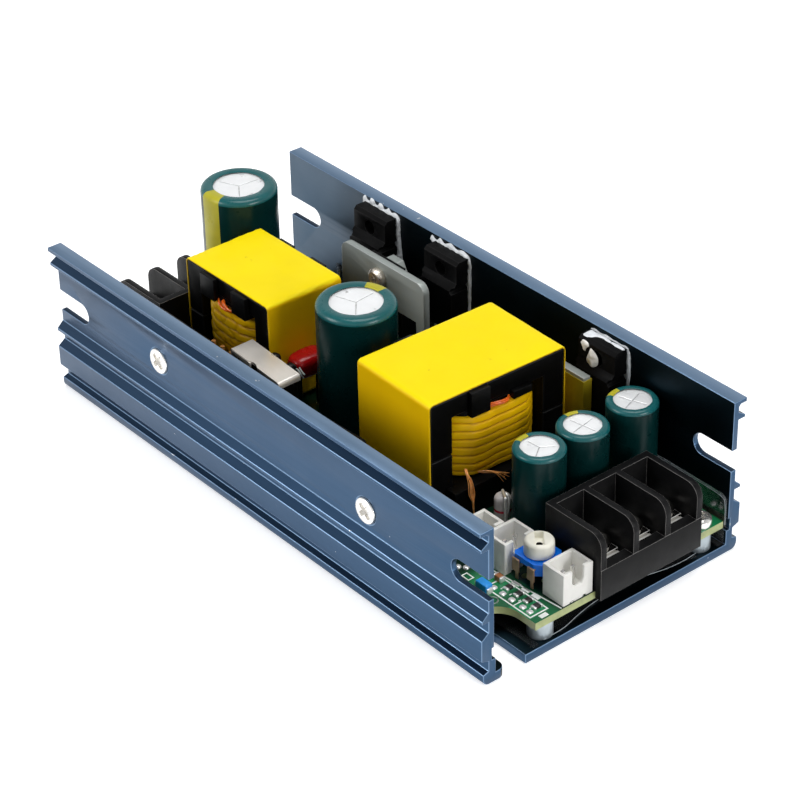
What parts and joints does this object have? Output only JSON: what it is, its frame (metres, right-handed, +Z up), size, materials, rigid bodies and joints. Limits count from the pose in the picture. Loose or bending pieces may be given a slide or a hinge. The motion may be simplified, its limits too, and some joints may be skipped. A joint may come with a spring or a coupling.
{
  "type": "open-frame power supply",
  "caption": "U-shaped blue anodised extrusion carrying a power converter board: taped transformers, sleeved capacitors, barrier terminals, sockets and a turning trimmer.",
  "frame": {"origin": "middle of the underside of the extrusion", "axes": "+X along the extrusion to the output terminals, +Z up out of the open top, -Y the wall with the two screw heads"},
  "size_m": [0.137, 0.0666, 0.0374],
  "materials": {
    "anodised": "satin",
    "clear_film": "clear",
    "board": "gloss",
    "plated_steel": "satin",
    "black_moulding": "matte",
    "tinned": "satin",
    "white_paste": "matte",
    "bare_aluminium": "satin",
    "brassy": "satin",
    "ferrite": "matte",
    "winding_tape": "gloss",
    "yellow_tape": "gloss",
    "copper_wire": "gloss",
    "can": "satin",
    "green_sleeve": "gloss",
    "white_moulding": "satin",
    "blue_moulding": "satin",
    "cream_moulding": "satin",
    "brown_legs": "satin",
    "nickel": "satin",
    "red_dip": "gloss",
    "black_sleeving": "matte",
    "olive_tape": "satin",
    "grey_glass": "gloss"
  },
  "bodies": {
    "supply": {"chassis": "anodised", "insulating_sheet": "clear_film", "circuit_board": "board", "standoffs": "plated_steel", "board_screws": "plated_steel", "wall_screws": "plated_steel", "hex_nuts": "plated_steel", "near_wall_devices": "black_moulding", "power_transistor_a": "black_moulding", "power_transistor_b": "black_moulding", "output_rectifier": "black_moulding", "device_leads": "tinned", "thermal_paste": "white_paste", "heat_plate": "bare_aluminium", "plate_rectifier": "black_moulding", "plate_screw": "brassy", "main_core": "ferrite", "main_bobbin": "black_moulding", "main_winding": "winding_tape", "main_tape": "yellow_tape", "main_leads": "copper_wire", "inductor_core": "ferrite", "inductor_bobbin": "black_moulding", "inductor_winding": "winding_tape", "inductor_tape": "yellow_tape", "inductor_leads": "copper_wire", "transformer_pins": "tinned", "bulk_can_far": "can", "bulk_sleeve_far": "green_sleeve", "bulk_can_mid": "can", "bulk_sleeve_mid": "green_sleeve", "small_can_left": "can", "small_sleeve_left": "green_sleeve", "small_can_middle": "can", "small_sleeve_middle": "green_sleeve", "small_can_right": "can", "small_sleeve_right": "green_sleeve", "capacitor_leads": "tinned", "output_block": "black_moulding", "input_block": "black_moulding", "terminal_contacts": "tinned", "terminal_washers": "plated_steel", "terminal_screws": "plated_steel", "socket_near": "white_moulding", "socket_middle": "white_moulding", "socket_far": "white_moulding", "socket_pins": "tinned", "trimmer_body": "blue_moulding", "trimmer_legs": "brown_legs", "clamp_clip": "nickel", "bridge_rectifier": "black_moulding", "filter_capacitor": "black_moulding", "snubber_capacitor": "black_moulding", "film_capacitor": "red_dip", "sleeved_leads": "black_sleeving", "side_plate": "bare_aluminium", "side_plate_tape": "olive_tape", "diode": "grey_glass", "chip_parts": "black_moulding"},
    "rotor": {"trimmer_rotor": "cream_moulding"}
  },
  "joints": [
    {"name": "trimmer_turn", "type": "hinge", "parent": "supply", "child": "rotor", "pos_m": [0.05665, -0.0092, 0.013], "axis": [0, 0, 1], "range_deg": [-117.5, 117.5]}
  ]
}
